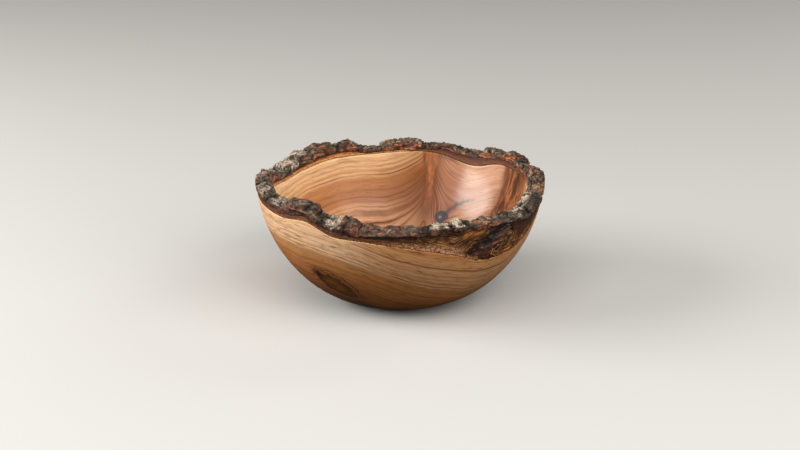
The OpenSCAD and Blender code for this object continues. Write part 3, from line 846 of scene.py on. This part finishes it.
crust = add(bark, "Mix", {"Factor": grown["pale"], "A": crust, "B": pale_crust}, data_type="RGBA")
green = add(bark, "TexNoise", {"Vector": place, "Scale": 1 / (GREEN * MM), "Detail": 2.0})
green = add(bark, "MapRange", {"Value": green, "From Min": 0.45, "From Max": 0.62, "To Max": 0.4})
# Lighter on the proudest bumps of the grown face: in part wear, in part painted highlight.
worn = add(bark, "Math", {0: grown["proud"], 1: 0.5}, operation="MULTIPLY")
pit = add(bark, "MapRange", {"Value": grown["crumb"], "From Min": 0.05, "From Max": 0.45,
                             "To Min": 0.25, "To Max": 1.0})
crusted = add(bark, "Math", {0: grown["lichen"], 1: pit}, operation="MULTIPLY")
colour = cork
# The near-black of cracks, joints between scales and hollows, and the dark over shaded scales, is
# painted shade.
for share, tint in (
        (green, "#5f5b49"), (grown["rust"], red), (worn, "#ab9580"), (crusted, crust),
        (grown["deep"], "#120d0a"), (grown["painted_shade"], "#1c1511")):
    colour = add(bark, "Mix", {"Factor": share, "A": colour, "B": tint}, data_type="RGBA")
relief = add(bark, "Bump", {"Height": speck, "Strength": 0.5, "Distance": 0.0004})
surface = add(bark, "BsdfPrincipled", {
    "Base Color": colour, "Roughness": 0.8, "Normal": relief, "Specular IOR Level": 0.25})
add(bark, "OutputMaterial", {"Surface": surface})

# Every scale is bent by one and the same field, so that the cracks between them wander, and swells
# a little at its two ends and its seat, so that the bark joins up over the cracks.
BEND, BEND_RUN = 1.8, 6.0              # mm that the field bends it, and from bend to bend
END_SWELL, SEAT_SWELL = 0.9, 0.4       # mm
RAGGED, RAGGED_RUN = 1.3, 9.0          # mm that its lower edge hangs over the inner bark, by runs
LICHEN_RUN = 6.0                       # mm from one patch of lichen or red cork to the next
TOOL_SWELL, TOOLED_OFF = 0.6, 0.75     # mm past the wall's face, and share cut off what is further
BOX_GAP = 0.01                         # mm that it stays inside the CAD's box
noise.seed_set(BARK_SEED)
low_corner, high_corner = (np.array(corner) / MM for corner in cad_box)


def rough_bark(node, rust_share, shade, cut_at=None, moved_by=None):
    """Replaces a node of bark by a copy with the relief, crust and colours of grown bark. Its
    painted shade is one share or a function of the points."""
    mesh = even_copy(node, BARK_GRID, softened=SOFTENED)
    points, normals = points_of(mesh), normals_of(mesh)
    from_middle = points - ball_middle
    facing = (normals * from_middle).sum(1) / np.linalg.norm(from_middle, axis=1)
    cut = cut_at(points) if cut_at else fade(0.55, 0.9, np.abs(facing))
    cut = np.maximum(cut, LAYERED.get(node, 0.0))
    painted_shade = shade(points) if callable(shade) else np.full(len(points), shade)

    # Relief, and where lichen, red cork and the hollows lie; the hollows get near-black painted
    # shade
    push, tone, deep, crumb = np.array([bark_at(p, c) for p, c in zip(points, cut)]).T
    patches = np.array([noise.fractal(Vector(p) / LICHEN_RUN, 1.0, 2.0, 3) for p in points])
    azimuth = azimuth_of(points)
    lichen_share = np.interp(azimuth + 1.2 * patches, *zip(*LICHEN), period=360)
    hollow = fade(-0.25, -0.5, lichen_share) * (1 - 0.5 * cut)
    push = push - HOLLOW * hollow
    painted_shade = np.maximum(painted_shade, 0.8 * hollow)
    lichen = fade(0.75 - lichen_share, 0.95 - lichen_share, patches + 0.4 - 0.7 * cut) * (1 - painted_shade)
    rust = np.clip(rust_share * (0.4 + 0.7 * cut + 0.8 * patches), 0, 1)

    # The scale bent, pushed in and out by its relief, and swollen at its ends and seat
    tangent = np.stack((-points[:, 1], points[:, 0], np.zeros(len(points))), 1)
    tangent /= np.linalg.norm(tangent, axis=1)[:, None]
    end_face = np.abs((normals * tangent).sum(1))
    seat = fade(0.3, 0.9, -normals[:, 2])
    bends = np.array([noise.noise_vector(Vector(p) / BEND_RUN) for p in points])
    moved = points + bends * (BEND, BEND, 0) * (1 - 0.6 * cut)[:, None]
    moved += normals * (push * (1 - 0.6 * seat) + END_SWELL * end_face + SEAT_SWELL * seat)[:, None]
    if moved_by:
        moved += moved_by(points)
    else:  # its lower edge hangs ragged over the inner bark
        seat_line = np.where(facing > 0, bast_outer(azimuth), bast_inner(azimuth))
        hang = (1 - fade(0.2, 2.2, points[:, 2] - seat_line)) * fade(0.2, 0.6, np.abs(facing))
        along = np.radians(azimuth) * RIM_R / RAGGED_RUN
        ragged = np.array([noise.fractal(Vector((a, height / 2, 5.0)), 1.0, 2.0, 4)
                           for a, height in zip(along, points[:, 2])])
        moved[:, 2] -= RAGGED * hang * np.clip(0.3 + ragged, 0, 1)
        lichen *= 1 - 0.9 * hang
        rust = np.maximum(rust, 0.7 * hang * rust_share)
        # A little darker along the hanging edge: painted shade under it.
        tone = tone - 0.08 * hang

    # The turning tool took off most of what stood past the wall's face
    from_middle = moved - ball_middle
    distance = np.linalg.norm(from_middle, axis=1)
    over = np.maximum(distance - WALL_BALL_R - TOOL_SWELL, 0)
    moved -= from_middle * (TOOLED_OFF * over / distance)[:, None]
    put_points(mesh, np.clip(moved, low_corner + BOX_GAP, high_corner - BOX_GAP))

    # Where a scale meets the next, its end is painted dark: painted shade in the joint.
    deep = np.maximum(deep, fade(0.6, 0.95, end_face) * np.clip(0.5 + 1.5 * patches, 0.15, 0.9))
    note_on(mesh, {
        "tone": tone, "deep": deep, "crumb": crumb, "lichen": lichen, "rust": rust, "painted_shade": painted_shade,
        "proud": fade(0.6, 1.5, push) * (1 - cut), "pale": fade(0.5, 0.9, lichen_share)})
    piece = object_of(node.replace("bark_", "rough_"), mesh)
    dress(piece, bark)
    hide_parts(node)


def hollow_shade(points):
    """The hollow at the right gets painted shade on its outer side and stays clear along the rim's
    inner edge.
    """
    return 0.7 * fade(89.5, 93, np.hypot(points[:, 0], points[:, 1]))


for node, (rust_share, shade) in SCALES.items():
    rough_bark(node, rust_share, hollow_shade if node in HOLLOW_SCALES else shade)


# Bark pocket
# The plug of rough bark that grew into the trunk beside the branch, cut through by the tool. The
# inner bark laps over its edge.
POCKET_SINK = 1.1       # mm that its edge lies under the lip of inner bark


def under_lip(points):
    """How far the pocket's edge lies back from the wall's face."""
    out = along_wall(points)[0]
    at_face = fade(2.5, 0.3, WALL_BALL_R - np.linalg.norm(points - ball_middle, axis=1))
    at_edge = fade(0.25, 0.6, distance_from(POCKET_ENDS, points))
    return -out * (POCKET_SINK * at_edge * at_face)[:, None]


def tooled(points):
    return 1 - in_crevice(points)


def pocket_shade(points):
    """Painted shade over the pocket, deepest at its lower left and in its crevice."""
    return 0.35 + 0.3 * np.maximum(fade(314, 306, azimuth_of(points)), in_crevice(points))


rough_bark("bark_pocket", 0.6, pocket_shade, cut_at=tooled, moved_by=under_lip)


# Studio
# A plain pale floor, soft lamps at the left, in front and at the right, a narrow one behind, and the
# camera at the photograph's angle. The wood mirrors the left lamp at the right of the inside.
FLOOR_HALF = 6.0        # m
LIT_AT = Vector((0, 0, 0.05))       # the spot that all lamps face
TARGET = Vector((0, 0, 0.0474))     # and the one that the camera faces
DISTANCE, ELEVATION = 1.226, math.radians(19)
LENS, FILM_WIDTH = 80, 36           # mm
bm = bmesh.new()
bmesh.ops.create_grid(bm, x_segments=1, y_segments=1, size=FLOOR_HALF)
floor_mesh = bpy.data.meshes.new("floor")
bm.to_mesh(floor_mesh)
bm.free()
# Matt pale paper to the eye, which throws less light up at the bowl than it shows.
paper = fresh_material("pale_paper")
path = add(paper, "LightPath").node.outputs
tint = add(paper, "Mix", {"Factor": path["Is Camera Ray"], "A": "#4a4845", "B": "#c0bdb8"},
           data_type="RGBA")
surface = add(paper, "BsdfPrincipled", {"Base Color": tint, "Roughness": 0.9})
add(paper, "OutputMaterial", {"Surface": surface})
floor = object_of("floor", floor_mesh)
floor_mesh.materials.append(paper)

for name, spot, size, watts in (
        ("left_lamp", (-1.35, -0.1, 0.6), (1.05, 0.75), 29),
        ("front_lamp", (-0.2, -1.0, 1.35), (1.6, 1.2), 16),
        ("right_lamp", (0.9, -0.75, 0.85), (1.2, 1.2), 17),
        ("back_lamp", (1.15, 0.75, 0.7), (0.4, 1.0), 4)):
    lamp = bpy.data.lights.new(name, "AREA")
    lamp.shape = "RECTANGLE"
    lamp.size, lamp.size_y = size
    lamp.energy = watts
    holder = bpy.data.objects.new(name, lamp)
    holder.location = spot
    holder.rotation_euler = (LIT_AT - Vector(spot)).to_track_quat("-Z", "Y").to_euler()
    bpy.context.scene.collection.objects.link(holder)

room = bpy.data.worlds.new("room")
room.use_nodes = True
sky = room.node_tree.nodes["Background"].inputs
sky["Color"].default_value = linear("#eceae6")
sky["Strength"].default_value = 0.2
bpy.context.scene.world = room
bpy.context.scene.view_settings.view_transform = "Standard"

lens = bpy.data.cameras.new("camera")
lens.lens = LENS
lens.sensor_width = FILM_WIDTH
camera = bpy.data.objects.new("camera", lens)
camera.location = TARGET + DISTANCE * Vector((0, -math.cos(ELEVATION), math.sin(ELEVATION)))
camera.rotation_euler = (math.pi / 2 - ELEVATION, 0, 0)
bpy.context.scene.collection.objects.link(camera)
bpy.context.scene.camera = camera
